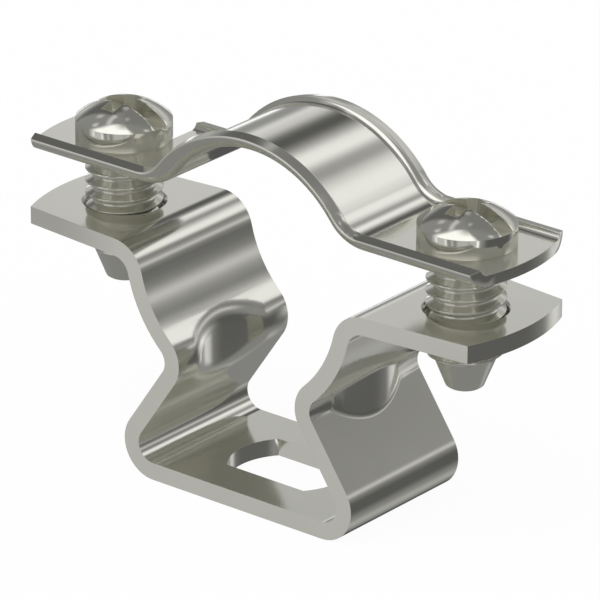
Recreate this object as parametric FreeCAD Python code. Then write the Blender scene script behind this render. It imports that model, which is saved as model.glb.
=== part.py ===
import FreeCAD, Part
import math
import os

from FreeCAD import Vector

# Conduit, lying along Y
conduit_radius = 9.5
conduit_height = 18.9  # centre of the conduit above the underside of the base

# Lower bracket, one bent strip
strip_thickness = 1.4
strip_width = 13.0
base_bend_x = 8.25  # centre of each bottom bend, from the middle
base_bend_radius = 1.4  # inner radius
crease_radius = 1.3  # inner radius, on the outer side of the leg
crease_angle = 47.0  # where each seat arc ends, below the level of the conduit's centre
ear_bend_radius = 1.45  # inner radius, under the ear
ear_width_at_corners = 11.4

# Slot in the base, a round hole with two flats
slot_length = 9.7
slot_width = 6.2

# Stiffening dents pressed into the creases from the conduit side
dent_radius = 7.75
dent_depth = 1.05  # how far the pocket goes in behind the ridge of the crease
dent_rim_radius = 2.4

# Upper strap, an arch with flat ears and turned-up edges
strap_thickness = 0.9
strap_width = 11.2
strap_gap = 4.3  # between the ears of the bracket and of the strap
arch_bend_radius = 4.0  # outer radius, under the strap
curl_radius = 0.62  # inner radius of the turned-up edges
curl_angle = 78.0

# Outline of both pieces at their ends, seen from above
corner_x = 21.05
end_bulge = 1.12

# Screws
screw_x = 16.5
thread_radius = 3.0
thread_clearance = 0.05
ear_hole_chamfer = 0.25
strap_hole_clearance = 0.2
head_radius = 3.73
head_side_height = 1.55
head_dome_height = 1.5
thread_end_depth = 2.0  # how far the full thread reaches below the ear
thread_end_chamfer = 0.35
tip_length = 2.47
tip_base_radius = 2.39
tip_end_radius = 1.4
tip_edge_chamfer = 0.15
driver_slot_width = 1.4
cross_reach = 2.15  # half length of each cross arm at the top of the head
cross_width = 1.35
cross_depth = 2.3
cross_taper = 0.55  # size of the cross at its floor, as a share of its size at the top

ear_top = conduit_height
strap_underside = ear_top + strap_gap
strap_top = strap_underside + strap_thickness
half_width = strip_width / 2
reach = corner_x + end_bulge
blank_reach = reach + strip_thickness  # before the ends are trimmed to their outline
overall_height = conduit_height + conduit_radius + strap_thickness + curl_radius
touching = 0.02  # largest distance at which an edge counts as lying on a face


def polar(centre, radius, angle):
    return Vector(centre.x + radius * math.cos(angle), 0, centre.z + radius * math.sin(angle))


def arc(centre, radius, start, end):
    middle = (start + end) / 2
    return Part.Arc(
        polar(centre, radius, start), polar(centre, radius, middle), polar(centre, radius, end)
    ).toShape()


def line(start, end):
    return Part.LineSegment(start, end).toShape()


def mirrored(shape):
    return shape.mirror(Vector(0, 0, 0), Vector(1, 0, 0))


def near(first, second):
    return math.isclose(first, second, abs_tol=touching)


def upright_cylinder(x, radius, bottom, top):
    """Cylinder along Z, turned so that its seam isn't on the outer side of a dent."""
    cylinder = Part.makeCylinder(radius, top - bottom, Vector(x, 0, bottom))
    cylinder.rotate(Vector(x, 0, bottom), Vector(0, 0, 1), 180)
    return cylinder


def bracket_bends():
    """Centres of the base bend, the crease and the ear bend, with the angles where they meet."""
    conduit = Vector(0, 0, conduit_height)
    base = Vector(base_bend_x, 0, strip_thickness + base_bend_radius)
    crease_end = -math.radians(crease_angle)
    crease = polar(conduit, conduit_radius + strip_thickness + crease_radius, crease_end)
    leg = crease - base
    spread = (base_bend_radius + strip_thickness + crease_radius) / leg.Length
    leg_normal = math.atan2(leg.z, leg.x) - math.acos(spread)
    ear_rise = ear_top - strip_thickness - ear_bend_radius
    ear_distance = conduit_radius + strip_thickness + ear_bend_radius
    drop = conduit_height - ear_rise
    ear = Vector(math.sqrt(ear_distance**2 - drop**2), 0, ear_rise)
    ear_start = math.atan2(-drop, ear.x)
    return conduit, base, crease, ear, leg_normal, crease_end, ear_start


def bracket_line(offset):
    """Edges of one half of the strip's side view; offset 0 is the conduit side."""
    conduit, base, crease, ear, leg_normal, crease_end, ear_start = bracket_bends()
    base_radius = base_bend_radius + offset
    crease_outer = crease_radius + strip_thickness - offset
    ear_radius = ear_bend_radius + strip_thickness - offset
    level = strip_thickness - offset
    ear_level = ear_top - offset
    return [
        line(Vector(0, 0, level), Vector(base.x, 0, level)),
        arc(base, base_radius, -math.pi / 2, leg_normal),
        line(polar(base, base_radius, leg_normal), polar(crease, crease_outer, leg_normal + math.pi)),
        arc(crease, crease_outer, leg_normal + math.pi, crease_end + math.pi),
        arc(conduit, conduit_radius + offset, crease_end, ear_start),
        arc(ear, ear_radius, ear_start + math.pi, math.pi / 2),
        line(Vector(ear.x, 0, ear_level), Vector(blank_reach, 0, ear_level)),
    ]


def bent_strip():
    inner = bracket_line(0)
    outer = bracket_line(strip_thickness)
    end = line(inner[-1].Vertexes[-1].Point, outer[-1].Vertexes[-1].Point)
    middle = line(Vector(0, 0, 0), Vector(0, 0, strip_thickness))
    outline = Part.Wire(Part.__sortEdges__([middle] + inner + [end] + outer))
    half = Part.Face(outline).extrude(Vector(0, strip_width, 0))
    half.translate(Vector(0, -half_width, 0))
    return half.fuse(mirrored(half)).removeSplitter()


def end_outline(width_inside, width_at_corners, taper_start):
    """Prism of the outline seen from above: straight, tapered to the corners, round ends."""
    inside = width_inside / 2
    corner = width_at_corners / 2
    edges = []
    for side in (1, -1):
        start = Vector(side * taper_start, side * inside, 0)
        far = Vector(side * corner_x, side * corner, 0)
        near = Vector(side * corner_x, -side * corner, 0)
        back = Vector(side * taper_start, -side * inside, 0)
        across = Vector(-side * taper_start, -side * inside, 0)
        edges.append(line(start, far))
        edges.append(Part.Arc(far, Vector(side * reach, 0, 0), near).toShape())
        edges.append(line(near, back))
        edges.append(line(back, across))
    face = Part.Face(Part.Wire(Part.__sortEdges__(edges)))
    prism = face.extrude(Vector(0, 0, 2 * overall_height))
    prism.translate(Vector(0, 0, -strip_thickness))
    return prism


def dent_web(bends, pocket_x):
    """The sheet pushed out behind the crease: a round wall that fills the valley of the bend."""
    crease = bends[2]
    outer_radius = dent_radius + strip_thickness
    out = pocket_x + strip_thickness
    leg_normal = polar(Vector(0, 0, 0), 1, bends[4])
    leg_distance = leg_normal.dot(bends[1]) + base_bend_radius + strip_thickness
    edge = out + strip_thickness
    low = Vector(edge, 0, (leg_distance - edge * leg_normal.x) / leg_normal.z)
    seat_outer = conduit_radius + strip_thickness
    high = Vector(edge, 0, conduit_height - math.sqrt(seat_outer**2 - edge**2))
    ridge = polar(crease, crease_radius + strip_thickness / 2, math.pi)
    outline = Part.makePolygon([ridge, low, high, ridge])
    wedge = Part.Face(outline).extrude(Vector(0, strip_width, 0))
    wedge.translate(Vector(0, -half_width, 0))
    return wedge.common(upright_cylinder(out - outer_radius, outer_radius, 0, conduit_height))


def dent_pocket(bends, pocket_x):
    """The punch: the part of a round bar that stands on this leg's side of the middle."""
    base = bends[1]
    bottom = base.z + base_bend_radius
    top = conduit_height - conduit_radius / 2
    bar = upright_cylinder(pocket_x - dent_radius, dent_radius, bottom, top)
    side = Part.makeBox(reach, 2 * dent_radius, overall_height)
    side.translate(Vector(0, -dent_radius, 0))
    return bar.common(side)


def edges_on(shape, test):
    return [edge for edge in shape.Edges if test(edge)]


def pocket_edge(edge, pocket_x):
    """True on the rim of the pocket: every point lies on the pocket's round wall."""
    axis_x = pocket_x - dent_radius
    for point in edge.discretize(5):
        if not near(math.hypot(abs(point.x) - axis_x, point.y), dent_radius):
            return False
    return True


def build_bracket():
    bends = bracket_bends()
    crease = bends[2]
    ear = bends[3]
    pocket_x = crease.x - crease_radius - strip_thickness + dent_depth
    web = dent_web(bends, pocket_x)
    pocket = dent_pocket(bends, pocket_x)
    bracket = bent_strip().fuse(web).fuse(mirrored(web)).removeSplitter()
    bracket = bracket.cut(pocket).cut(mirrored(pocket))
    rims = edges_on(bracket, lambda edge: pocket_edge(edge, pocket_x))
    bracket = bracket.makeFillet(dent_rim_radius, rims)
    bracket = bracket.common(end_outline(strip_width, ear_width_at_corners, ear.x))
    slot = upright_cylinder(0, slot_length / 2, -strip_thickness, 2 * strip_thickness)
    flats = Part.makeBox(slot_length, slot_width, 3 * strip_thickness)
    flats.translate(Vector(-slot_length / 2, -slot_width / 2, -strip_thickness))
    bracket = bracket.cut(slot.common(flats))
    for side in (1, -1):
        bracket = bracket.cut(tapped_hole(side * screw_x))
    return bracket


def tapped_hole(x):
    """Bore through an ear, chamfered at both faces."""
    bore = thread_radius + thread_clearance
    mouth = bore + ear_hole_chamfer
    bottom = ear_top - strip_thickness
    hole = upright_cylinder(x, bore, bottom - strip_thickness, ear_top + strip_thickness)
    upper = Part.makeCone(bore, mouth, ear_hole_chamfer, Vector(x, 0, ear_top - ear_hole_chamfer))
    lower = Part.makeCone(mouth, bore, ear_hole_chamfer, Vector(x, 0, bottom))
    return hole.fuse(upper).fuse(lower)


def curl_section(x, underside):
    """Cross-section of the strap in the plane at x: flat, with both edges turned up."""
    turn = math.radians(curl_angle)
    outer = curl_radius + strap_thickness
    flat = strap_width / 2 - outer * math.sin(turn)
    centre = underside + outer

    def at(side, radius, angle):
        y = flat + radius * math.sin(angle)
        return Vector(x, side * y, centre - radius * math.cos(angle))

    edges = []
    for side in (1, -1):
        for radius in (outer, curl_radius):
            start, middle, end = (at(side, radius, share * turn) for share in (0, 0.5, 1))
            edges.append(Part.Arc(start, middle, end).toShape())
        edges.append(line(at(side, outer, turn), at(side, curl_radius, turn)))
    edges.append(line(at(-1, outer, 0), at(1, outer, 0)))
    edges.append(line(at(-1, curl_radius, 0), at(1, curl_radius, 0)))
    return Part.Face(Part.Wire(Part.__sortEdges__(edges)))


def build_strap():
    along_y = Vector(0, 1, 0)
    bend_z = strap_underside + arch_bend_radius
    rise = bend_z - conduit_height
    bend_x = math.sqrt((conduit_radius + arch_bend_radius) ** 2 - rise**2)
    meet = math.atan2(rise, bend_x)
    ear = curl_section(bend_x, strap_underside).extrude(Vector(blank_reach - bend_x, 0, 0))
    turn = 90 - math.degrees(meet)
    bend = curl_section(bend_x, strap_underside)
    bend = bend.revolve(Vector(bend_x, 0, bend_z), along_y, turn)
    crown = curl_section(0, conduit_height + conduit_radius)
    half_arch = crown.revolve(Vector(0, 0, conduit_height), along_y, turn)
    half = ear.fuse([bend, half_arch])
    strap = half.fuse(mirrored(half)).removeSplitter()
    strap = strap.common(end_outline(strap_width, strap_width, bend_x))
    hole = thread_radius + strap_hole_clearance
    strap = strap.cut(upright_cylinder(screw_x, hole, ear_top, overall_height))
    strap = strap.cut(upright_cylinder(-screw_x, hole, ear_top, overall_height))
    mouth = Part.makeBox(2 * hole, strap_width, overall_height)
    mouth.translate(Vector(-screw_x - hole, 0, ear_top))
    return strap.cut(mouth)


def cross_arm(length, width, top):
    """Tapered arm of the driver recess, from above the head down to the recess's floor."""
    sections = []
    for share, z in ((1, top), (cross_taper, top - cross_depth)):
        x = length * share
        y = width * share / 2
        corners = [Vector(x, y, z), Vector(-x, y, z), Vector(-x, -y, z), Vector(x, -y, z)]
        sections.append(Part.makePolygon(corners + corners[:1]))
    return Part.makeLoft(sections, True, True)


def build_screw(x):
    under = strap_top
    rim = under + head_side_height
    crown = rim + head_dome_height
    dome_radius = (head_radius**2 + head_dome_height**2) / (2 * head_dome_height)
    dome_centre = Vector(0, 0, crown - dome_radius)
    dome_angle = math.asin(head_radius / dome_radius)
    thread_end = ear_top - strip_thickness - thread_end_depth
    tip_start = thread_end - thread_end_chamfer
    tip_end = tip_start - tip_length
    outline = Part.Wire(
        [
            line(Vector(0, 0, crown), Vector(0, 0, tip_end)),
            line(Vector(0, 0, tip_end), Vector(tip_end_radius, 0, tip_end)),
            line(Vector(tip_end_radius, 0, tip_end), Vector(tip_base_radius, 0, tip_start)),
            line(Vector(tip_base_radius, 0, tip_start), Vector(thread_radius, 0, thread_end)),
            line(Vector(thread_radius, 0, thread_end), Vector(thread_radius, 0, under)),
            line(Vector(thread_radius, 0, under), Vector(head_radius, 0, under)),
            line(Vector(head_radius, 0, under), Vector(head_radius, 0, rim)),
            arc(dome_centre, dome_radius, math.pi / 2 - dome_angle, math.pi / 2),
        ]
    )
    screw = Part.Face(outline).revolve(Vector(0, 0, 0), Vector(0, 0, 1), 360)
    screw = screw.makeChamfer(tip_edge_chamfer, edges_on(screw, lambda edge: is_ring(edge, tip_end)))
    slot = Part.makeBox(4 * head_radius, driver_slot_width, 2 * head_dome_height)
    slot.translate(Vector(-2 * head_radius, -driver_slot_width / 2, rim))
    screw = screw.cut(slot)
    screw = screw.cut(cross_arm(cross_reach, cross_width, crown))
    upright = cross_arm(cross_reach, cross_width, crown)
    upright.rotate(Vector(0, 0, 0), Vector(0, 0, 1), 90)
    screw = screw.cut(upright)
    screw.translate(Vector(x, 0, 0))
    return screw


def is_ring(edge, height):
    box = edge.BoundBox
    return near(box.ZMin, height) and near(box.ZMax, height) and near(box.XLength, box.YLength)


def main():
    os.makedirs("parts", exist_ok=True)
    pieces = {
        "lower_bracket": build_bracket(),
        "upper_strap": build_strap(),
        "left_screw": build_screw(-screw_x),
        "right_screw": build_screw(screw_x),
    }
    for name, shape in pieces.items():
        solid = shape.Solids[0]
        solid.exportStep("parts/" + name + ".step")
        print(name, len(shape.Solids), solid.isValid(), round(solid.Volume, 2), solid.BoundBox)


main()
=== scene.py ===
import math

import bmesh
import bpy
from mathutils import Matrix, Vector


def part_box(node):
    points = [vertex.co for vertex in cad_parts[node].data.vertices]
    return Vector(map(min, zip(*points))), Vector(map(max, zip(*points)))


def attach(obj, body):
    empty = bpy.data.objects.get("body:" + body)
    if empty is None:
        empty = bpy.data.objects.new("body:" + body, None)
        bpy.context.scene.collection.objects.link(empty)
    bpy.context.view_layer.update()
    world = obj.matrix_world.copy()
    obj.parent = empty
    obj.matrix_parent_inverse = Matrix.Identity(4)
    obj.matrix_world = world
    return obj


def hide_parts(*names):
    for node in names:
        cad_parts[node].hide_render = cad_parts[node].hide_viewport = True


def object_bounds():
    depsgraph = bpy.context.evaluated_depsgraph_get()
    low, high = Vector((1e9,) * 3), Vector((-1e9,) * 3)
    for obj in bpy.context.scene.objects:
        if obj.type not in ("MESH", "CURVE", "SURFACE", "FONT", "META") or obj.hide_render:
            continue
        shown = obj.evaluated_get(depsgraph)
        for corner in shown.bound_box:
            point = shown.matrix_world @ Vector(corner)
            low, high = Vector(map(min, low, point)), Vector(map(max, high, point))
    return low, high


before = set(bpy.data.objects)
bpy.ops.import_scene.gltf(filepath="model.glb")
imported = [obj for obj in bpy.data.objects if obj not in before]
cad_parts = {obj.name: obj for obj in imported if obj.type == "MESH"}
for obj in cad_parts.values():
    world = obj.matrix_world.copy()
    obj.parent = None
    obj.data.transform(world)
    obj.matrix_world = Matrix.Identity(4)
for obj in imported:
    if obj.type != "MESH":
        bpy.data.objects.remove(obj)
cadLow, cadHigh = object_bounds()
mm = 0.001

print("frame loaded")


# Node helpers

class Wire:
    # one output socket; sums on it add Math nodes
    def __init__(self, graph, socket):
        self.graph = graph
        self.socket = socket

    def maths(self, operation, *values):
        return self.graph.node("ShaderNodeMath", {"operation": operation}, dict(enumerate(values)))

    def __add__(self, other):
        return self.maths("ADD", self, other)

    def __sub__(self, other):
        return self.maths("SUBTRACT", self, other)

    def __mul__(self, other):
        return self.maths("MULTIPLY", self, other)

    def __rsub__(self, other):
        return self.maths("SUBTRACT", other, self)

    __radd__ = __add__
    __rmul__ = __mul__


class Graph:
    def __init__(self, owner):
        owner.use_nodes = True
        self.tree = owner.node_tree
        self.tree.nodes.clear()

    def node(self, kind, settings=None, inputs=None, output=0):
        made = self.tree.nodes.new(kind)
        for name, value in (settings or {}).items():
            setattr(made, name, value)
        for name, value in (inputs or {}).items():
            if isinstance(value, Wire):
                self.tree.links.new(value.socket, made.inputs[name])
            else:
                made.inputs[name].default_value = value
        return Wire(self, made.outputs[output]) if made.outputs else made

    def mixed(self, share, first, second):
        inputs = {"Factor": share, 6: first, 7: second}
        return self.node("ShaderNodeMix", {"data_type": "RGBA"}, inputs, output=2)


# Mesh helpers

surface = {"weld": 0.0005 * mm, "flatAngle": 0.4, "shadeAngle": 35}


def cadCopy(nodeName):
    # the solid's own surface, welded, with flat areas joined into single faces
    bm = bmesh.new()
    bm.from_mesh(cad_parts[nodeName].data)
    bmesh.ops.remove_doubles(bm, verts=bm.verts, dist=surface["weld"])
    bmesh.ops.dissolve_limit(
        bm,
        angle_limit=math.radians(surface["flatAngle"]),
        verts=bm.verts,
        edges=bm.edges,
        delimit={"NORMAL"},
    )
    return bm


def sharpEdges(bm, angle):
    return [e for e in bm.edges if len(e.link_faces) == 2 and e.calc_face_angle(0) > math.radians(angle)]


def roundEdges(bm, edges, size, segments, clamp=True):
    bmesh.ops.bevel(
        bm,
        geom=edges,
        offset=size,
        offset_type="OFFSET",
        affect="EDGES",
        segments=segments,
        profile=0.5,
        material=-1,
        clamp_overlap=clamp,
    )


def finishPiece(bm, name, material, shadeAngle=surface["shadeAngle"]):
    mesh = bpy.data.meshes.new(name)
    for face in bm.faces:
        face.smooth = True
    for edge in sharpEdges(bm, shadeAngle):
        edge.smooth = False
    bm.to_mesh(mesh)
    bm.free()
    piece = bpy.data.objects.new(name, mesh)
    bpy.context.scene.collection.objects.link(piece)
    mesh.materials.append(material)
    weighted = piece.modifiers.new("weighted", "WEIGHTED_NORMAL")
    weighted.keep_sharp = True
    weighted.mode = "FACE_AREA"
    return piece


# Materials

# grain is how strong the polishing lines are, mattShare how much insideColour each reflection takes on
steel = {
    "bracket": {
        "colour": (0.625, 0.62, 0.57),
        "roughness": 0.13,
        "grain": 0.02,
        "mattShare": 0.65,
        "insideColour": (0.8, 0.8, 0.725),
    },
    "strap": {
        "colour": (0.625, 0.62, 0.57),
        "roughness": 0.12,
        "grain": 0.015,
        "mattShare": 0.35,
        "insideColour": (0.8, 0.8, 0.725),
    },
    "screw": {
        "colour": (0.625, 0.62, 0.565),
        "roughness": 0.1,
        "grain": 0.015,
        "mattShare": 0.45,
        "insideColour": (0.86, 0.86, 0.78),
    },
}

finish = {
    "grainDetail": 3.0,
    "grainRoughness": 0.6,
    "grainDepth": 0.01 * mm,
    "cloudScale": 160.0,
    "cloudDetail": 2.0,
    "cloudRoughness": 0.5,
    "cloudLeast": 0.85,
    "cloudSpan": 0.3,
    "deep": 0.94,
    "pale": 1.05,
    "alongStrip": (300.0, 9000.0, 300.0),
    "roundAxis": (500.0, 500.0, 9000.0),
}


def steelMaterial(name, across):
    # polished sheet or rod; the grain runs along what is bent, so it is fine across it
    look = steel[name]
    material = bpy.data.materials.new(name + "Steel")
    graph = Graph(material)
    place = graph.node("ShaderNodeTexCoord", output="Object")
    stretched = graph.node("ShaderNodeMapping", inputs={"Vector": place, "Scale": across})
    grain = graph.node(
        "ShaderNodeTexNoise",
        inputs={
            "Vector": stretched,
            "Scale": 1.0,
            "Detail": finish["grainDetail"],
            "Roughness": finish["grainRoughness"],
        },
    )
    cloud = graph.node(
        "ShaderNodeTexNoise",
        inputs={
            "Vector": place,
            "Scale": finish["cloudScale"],
            "Detail": finish["cloudDetail"],
            "Roughness": finish["cloudRoughness"],
        },
    )
    roughness = look["roughness"] * (finish["cloudLeast"] + finish["cloudSpan"] * cloud)
    roughness = roughness + look["grain"] * (grain - 0.5)
    deep = tuple(c * finish["deep"] for c in look["colour"])
    pale = tuple(c * finish["pale"] for c in look["colour"])
    clouded = graph.mixed(cloud, (*deep, 1.0), (*pale, 1.0))
    # neighbours seen in the metal are partly matt there, so slots and creases stay calm and light
    depth = graph.node("ShaderNodeLightPath", output="Glossy Depth")
    inside = depth.maths("MINIMUM", depth * look["mattShare"], 1.0)
    bump = graph.node(
        "ShaderNodeBump",
        inputs={"Height": grain, "Strength": look["grain"], "Distance": finish["grainDepth"]},
    )
    metal = graph.node(
        "ShaderNodeBsdfPrincipled",
        inputs={"Base Color": clouded, "Metallic": 1.0, "Roughness": roughness, "Normal": bump},
    )
    matt = graph.node("ShaderNodeBsdfDiffuse", inputs={"Color": (*look["insideColour"], 1.0)})
    shader = graph.node("ShaderNodeMixShader", inputs={0: inside, 1: metal, 2: matt})
    graph.node("ShaderNodeOutputMaterial", inputs={"Surface": shader})
    return material


bracketSteel = steelMaterial("bracket", finish["alongStrip"])
strapSteel = steelMaterial("strap", finish["alongStrip"])
screwSteel = steelMaterial("screw", finish["roundAxis"])

print("materials made")


# Lower bracket

bracketLook = {
    "edgeRound": 0.07 * mm,
    "segments": 2,
    "sharpAngle": 40,
    "footRound": 0.28 * mm,
    "footSegments": 4,
    "footAngle": 20,
    "footReach": 3.9 * mm,
    "footLow": 5 * mm,
}


def footEdges(bm):
    # where the round wall behind each dent stands on the leg
    look = bracketLook
    hollow = -math.radians(look["footAngle"])
    found = []
    for edge in bm.edges:
        middle = (edge.verts[0].co + edge.verts[1].co) / 2
        onLeg = middle.z > look["footLow"] and abs(middle.y) < look["footReach"]
        if onLeg and len(edge.link_faces) == 2 and edge.calc_face_angle_signed(0) < hollow:
            found.append(edge)
    return found


def makeBracket():
    look = bracketLook
    bm = cadCopy("lower_bracket")
    roundEdges(bm, footEdges(bm), look["footRound"], look["footSegments"], clamp=False)
    roundEdges(bm, sharpEdges(bm, look["sharpAngle"]), look["edgeRound"], look["segments"])
    bracket = finishPiece(bm, "bracket_strip", bracketSteel)
    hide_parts("lower_bracket")
    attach(bracket, "bracket")


makeBracket()
print("bracket made")


# Upper strap

strapLook = {"edgeRound": 0.06 * mm, "segments": 2, "sharpAngle": 40}


def makeStrap():
    look = strapLook
    bm = cadCopy("upper_strap")
    roundEdges(bm, sharpEdges(bm, look["sharpAngle"]), look["edgeRound"], look["segments"])
    strap = finishPiece(bm, "strap_arch", strapSteel)
    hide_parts("upper_strap")
    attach(strap, "strap")


makeStrap()
print("strap made")


# Screws

screwLook = {
    "pitch": 1.0 * mm,
    "crestRadius": 3.0 * mm,
    "rootRadius": 2.39 * mm,
    "crestFlat": 0.13 * mm,
    "rootFlat": 0.23 * mm,
    "crestRound": 0.03 * mm,
    "rootRound": 0.14 * mm,
    "stepsPerTurn": 96,
    "threadTop": 24.05 * mm,
    "threadEnd": {"right_screw": 15.15 * mm, "left_screw": 15.95 * mm},
    "endRise": 0.35 * mm,
    "shankEnd": 15.15 * mm,
    "crestHeight": {"right_screw": 21.57 * mm, "left_screw": 21.88 * mm},
    "crestSide": -51,
    "toothSegments": 3,
    "spareTurns": 2,
    "weld": 0.001 * mm,
    "edgeRound": 0.06 * mm,
    "edgeSegments": 2,
    "sharpAngle": 30,
    "shadeAngle": 50,
    "shankReach": 3.03 * mm,
}


def threadedShank(nodeName, axis):
    # a toothed line swept round once while it rises by one pitch, then trimmed at both ends
    look = screwLook
    pitch = look["pitch"]
    crestHeight = look["crestHeight"][nodeName]
    slope = (pitch - look["crestFlat"] - look["rootFlat"]) / 2
    bottom = look["shankEnd"] - look["spareTurns"] * pitch
    turns = round((look["threadTop"] - bottom) / pitch) + look["spareTurns"] + 1
    start = crestHeight - math.ceil((crestHeight - bottom) / pitch) * pitch
    bm = bmesh.new()
    line = []
    for turn in range(turns):
        z = start + turn * pitch
        crestTop = z + look["crestFlat"] / 2
        tooth = (
            (look["crestRadius"], z - look["crestFlat"] / 2),
            (look["crestRadius"], crestTop),
            (look["rootRadius"], crestTop + slope),
            (look["rootRadius"], crestTop + slope + look["rootFlat"]),
        )
        line += [bm.verts.new((radius, 0, height)) for radius, height in tooth]
    for pair in zip(line, line[1:]):
        bm.edges.new(pair)
    middle = (look["crestRadius"] + look["rootRadius"]) / 2
    for size, corners in (
        (look["crestRound"], [v for v in line[1:-1] if v.co.x > middle]),
        (look["rootRound"], [v for v in line[1:-1] if v.co.x < middle]),
    ):
        bmesh.ops.bevel(
            bm,
            geom=corners,
            offset=size,
            offset_type="OFFSET",
            affect="VERTICES",
            segments=look["toothSegments"],
            profile=0.5,
            material=-1,
        )
    turned = Matrix.Rotation(math.radians(look["crestSide"]), 3, "Z")
    bmesh.ops.rotate(bm, verts=bm.verts, cent=(0, 0, 0), matrix=turned)
    bmesh.ops.spin(
        bm,
        geom=bm.verts[:] + bm.edges[:],
        cent=(0, 0, 0),
        axis=(0, 0, 1),
        dvec=(0, 0, pitch / look["stepsPerTurn"]),
        angle=math.tau,
        steps=look["stepsPerTurn"],
        use_merge=False,
    )
    bmesh.ops.remove_doubles(bm, verts=bm.verts, dist=look["weld"])
    trimThread(bm, look["threadTop"], 1)
    trimThread(bm, look["shankEnd"], -1)
    threadEnd = look["threadEnd"][nodeName]
    steepness = (look["crestRadius"] - look["rootRadius"]) / look["endRise"]
    # the lowest turn runs out in a cone
    for v in bm.verts:
        most = look["rootRadius"] + max(0.0, v.co.z - threadEnd) * steepness
        if v.co.xy.length > most:
            v.co.xy *= most / v.co.xy.length
    bmesh.ops.recalc_face_normals(bm, faces=bm.faces)
    bmesh.ops.translate(bm, verts=bm.verts, vec=axis)
    return bm


def trimThread(bm, height, side):
    # side 1 clears what is above the height, side -1 what is below it
    cut = bmesh.ops.bisect_plane(
        bm,
        geom=bm.verts[:] + bm.edges[:] + bm.faces[:],
        plane_co=(0, 0, height),
        plane_no=(0, 0, side),
        clear_outer=True,
    )
    rim = [e for e in cut["geom_cut"] if isinstance(e, bmesh.types.BMEdge)]
    bmesh.ops.edgeloop_fill(bm, edges=rim)


def makeScrew(nodeName):
    look = screwLook
    low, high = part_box(nodeName)
    axis = Vector(((low.x + high.x) / 2, (low.y + high.y) / 2, 0))
    bm = cadCopy(nodeName)
    roundEdges(bm, sharpEdges(bm, look["sharpAngle"]), look["edgeRound"], look["edgeSegments"])
    # the plain shank makes room for the thread
    shank = []
    for face in bm.faces:
        middle = face.calc_center_median()
        onShank = look["shankEnd"] < middle.z < look["threadTop"]
        if onShank and (middle - axis).xy.length < look["shankReach"]:
            shank.append(face)
    bmesh.ops.delete(bm, geom=shank, context="FACES")
    thread = threadedShank(nodeName, axis)
    threadMesh = bpy.data.meshes.new("thread")
    thread.to_mesh(threadMesh)
    thread.free()
    bm.from_mesh(threadMesh)
    screw = finishPiece(bm, nodeName + "_threaded", screwSteel, look["shadeAngle"])
    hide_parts(nodeName)
    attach(screw, nodeName)


for nodeName in ("left_screw", "right_screw"):
    makeScrew(nodeName)
print("screws made")


# Camera at the photograph's angle

cameraLook = {
    "azimuth": 39.026,
    "elevation": 22.953,
    "roll": 0.282,
    "target": Vector((0, 0, 12.21 * mm)),
    "distance": 456.5 * mm,
    "right": 0.651 * mm,
    "up": 2.561 * mm,
    "lens": 363.46,
    "sensor": 36.0,
    "near": 0.01,
    "far": 10.0,
}


def makeCamera():
    look = cameraLook
    around = math.radians(look["azimuth"])
    upward = math.radians(look["elevation"])
    level = math.cos(upward)
    back = Vector((math.sin(around) * level, -math.cos(around) * level, math.sin(upward)))
    right = Vector((math.cos(around), math.sin(around), 0))
    roll = Matrix.Rotation(math.radians(look["roll"]), 3, back)
    right = roll @ right
    up = back.cross(right)
    data = bpy.data.cameras.new("camera")
    data.lens = look["lens"]
    data.sensor_width = look["sensor"]
    data.clip_start = look["near"]
    data.clip_end = look["far"]
    camera = bpy.data.objects.new("camera", data)
    bpy.context.scene.collection.objects.link(camera)
    place = look["target"] + look["distance"] * back + look["right"] * right + look["up"] * up
    turn = Matrix((right, up, back)).transposed().to_4x4()
    camera.matrix_world = Matrix.Translation(place) @ turn
    bpy.context.scene.camera = camera


makeCamera()
print("camera placed")


# Floor, light and background

studio = {
    "floorSize": 3.0,
    "floorDrop": 0.02 * mm,
    "floorWhite": 0.9,
    "floorGlow": 0.93,
    "glowStrength": 1.026,
    "white": 1.0,
    "under": 0.34,
    "over": 0.36,
    "horizon": 20.0,
    "bounces": 5,
}

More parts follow.
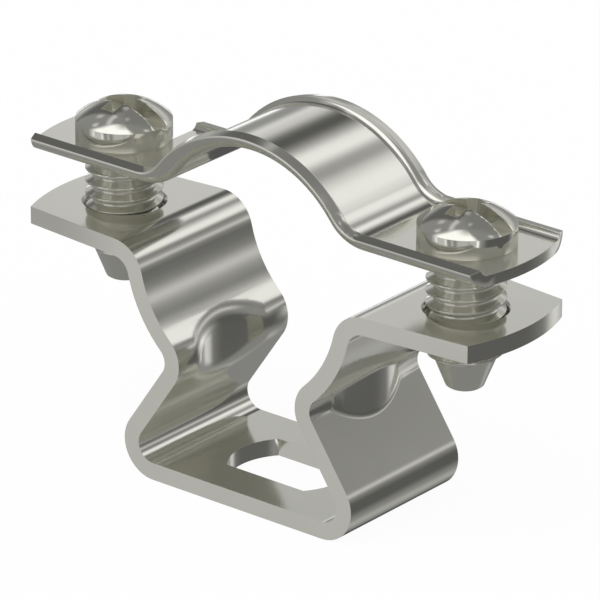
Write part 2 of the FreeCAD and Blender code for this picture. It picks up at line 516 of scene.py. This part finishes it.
# soft light boxes and dark flags round the bench, each laid over the ones before it:
# azimuth, elevation, half width, half height and softness in degrees, then the light
cards = {
    "ceiling": (180, 48, 44, 41, 35, 0.29),
    "backWindow": (170, 39, 32, 5.5, 18, 0.75),
    "backSill": (198, 22, 53, 3.5, 29, 1.1),
    "leftFlag": (242, 35, 18, 28, 7, 0.17),
    "leftWall": (269, 42, 12, 26, 7, 0.37),
    "leftSill": (240, 9, 9, 4, 29, 1.1),
    "rightFlag": (121, -14, 44, 15, 16, 0.14),
    "backBench": (171, -8, 15, 4.5, 35, 1.9),
    "leftBench": (305, -34, 15, 5, 28, 1.36),
    "frontBench": (40, -7, 25, 19, 9, 0.68),
    "frontWall": (335, 2, 20, 29, 11, 0.75),
    "keyBox": (6, 61, 62, 22, 20, 1.6),
    "lowStripe": (142, 13, 15, 3, 10, 0.92),
    "lowGap": (135, 24, 15, 2, 7, 0.28),
    "highStripe": (156, 35, 13, 5.5, 6.5, 1.3),
    "topGap": (171, 46, 3, 2, 9.5, 0.25),
    "topStripe": (190, 43, 8.5, 0.5, 11, 2.3),
    "leftGap": (212, 33, 8, 6, 10, 0.12),
    "leftStripe": (219, 16, 11, 3, 9, 1.05),
    "lowLeftGap": (221, 4, 10, 2, 6, 0.35),
    "lowLeftStripe": (222, -7, 16, 3, 7, 1.5),
    "benchStripe": (168, -43, 13, 4, 12, 0.56),
    "benchGap": (209, -40, 13, 9, 10, 0.1),
    "benchGlow": (175, -22, 8, 5, 13, 0.95),
    "rightLamp": (118, 55, 6, 4, 6, 0.85),
    "leftLamp": (264, 50, 4, 4, 6, 0.75),
    "sideLamp": (288, 50, 5, 4, 6, 0.85),
    "highLamp": (217, 54, 4, 4, 6, 0.6),
    "topLamp": (200, 79, 12, 3, 6, 0.6),
    "leftRail": (272, 69, 26, 3, 6, 0.85),
    "benchLampA": (325, -15, 2, 4, 4, 1.4),
    "benchLampB": (349, -16, 2.5, 6, 4, 1.25),
    "benchLampC": (4, -15, 3, 7, 4, 0.65),
    "benchLampD": (61, -15, 2.5, 7, 4, 1.6),
    "benchGapA": (355, -15, 2.5, 7, 4, 0.37),
    "benchGapB": (41, -15, 2.5, 7, 4, 0.55),
}


def makeFloor():
    bm = bmesh.new()
    bmesh.ops.create_grid(bm, x_segments=1, y_segments=1, size=studio["floorSize"] / 2)
    mesh = bpy.data.meshes.new("floor")
    bm.to_mesh(mesh)
    bm.free()
    floor = bpy.data.objects.new("floor", mesh)
    bpy.context.scene.collection.objects.link(floor)
    floor.location.z = cadLow.z - studio["floorDrop"]
    material = bpy.data.materials.new("paleFloor")
    graph = Graph(material)
    # white to the camera, matt to other light, and clear to the metal, which mirrors the cards
    seen = graph.node("ShaderNodeLightPath", output="Is Camera Ray")
    mirrored = graph.node("ShaderNodeLightPath", output="Is Glossy Ray")
    pale = (studio["floorWhite"],) * 3 + (1.0,)
    white = (studio["white"],) * 3 + (1.0,)
    matt = graph.node("ShaderNodeBsdfDiffuse", inputs={"Color": pale})
    glow = graph.node("ShaderNodeEmission", inputs={"Color": white, "Strength": studio["glowStrength"]})
    bright = graph.node("ShaderNodeMixShader", inputs={0: seen * studio["floorGlow"], 1: matt, 2: glow})
    clear = graph.node("ShaderNodeBsdfTransparent")
    mixed = graph.node("ShaderNodeMixShader", inputs={0: mirrored, 1: bright, 2: clear})
    graph.node("ShaderNodeOutputMaterial", inputs={"Surface": mixed})
    mesh.materials.append(material)


def softEdge(graph, distance, half, soft):
    # 1 inside the half size, 0 outside, with a soft step between them
    return graph.node(
        "ShaderNodeMapRange",
        {"interpolation_type": "SMOOTHSTEP"},
        {"Value": distance, "From Min": half + soft / 2, "From Max": half - soft / 2},
    )


def makeWorld():
    world = bpy.data.worlds.new("studio")
    bpy.context.scene.world = world
    graph = Graph(world)
    direction = graph.node("ShaderNodeTexCoord", output="Generated")
    x = graph.node("ShaderNodeSeparateXYZ", inputs={"Vector": direction}, output="X")
    y = graph.node("ShaderNodeSeparateXYZ", inputs={"Vector": direction}, output="Y")
    z = graph.node("ShaderNodeSeparateXYZ", inputs={"Vector": direction}, output="Z")
    azimuth = x.maths("ARCTAN2", x, 0 - y) * math.degrees(1)
    elevation = z.maths("ARCSINE", z) * math.degrees(1)
    rise = graph.node(
        "ShaderNodeMapRange",
        {"interpolation_type": "SMOOTHSTEP"},
        {"Value": elevation, "From Min": -studio["horizon"], "From Max": studio["horizon"]},
    )
    light = studio["under"] + (studio["over"] - studio["under"]) * rise
    for cardAzimuth, cardElevation, halfWidth, halfHeight, soft, cardLight in cards.values():
        across = x.maths("PINGPONG", azimuth - cardAzimuth, 180.0)
        upward = x.maths("ABSOLUTE", elevation - cardElevation)
        mask = softEdge(graph, across, halfWidth, soft) * softEdge(graph, upward, halfHeight, soft)
        light = graph.node("ShaderNodeMix", inputs={"Factor": mask, 2: light, 3: cardLight})
    seen = graph.node("ShaderNodeLightPath", output="Is Camera Ray")
    light = light + seen * (studio["white"] - light)
    shader = graph.node("ShaderNodeBackground", inputs={"Color": light, "Strength": 1.0})
    graph.node("ShaderNodeOutputWorld", inputs={"Surface": shader})


makeFloor()
makeWorld()
bpy.context.scene.view_settings.view_transform = "Standard"
bpy.context.scene.cycles.max_bounces = studio["bounces"]
bpy.context.scene.cycles.glossy_bounces = studio["bounces"]
print("studio made")
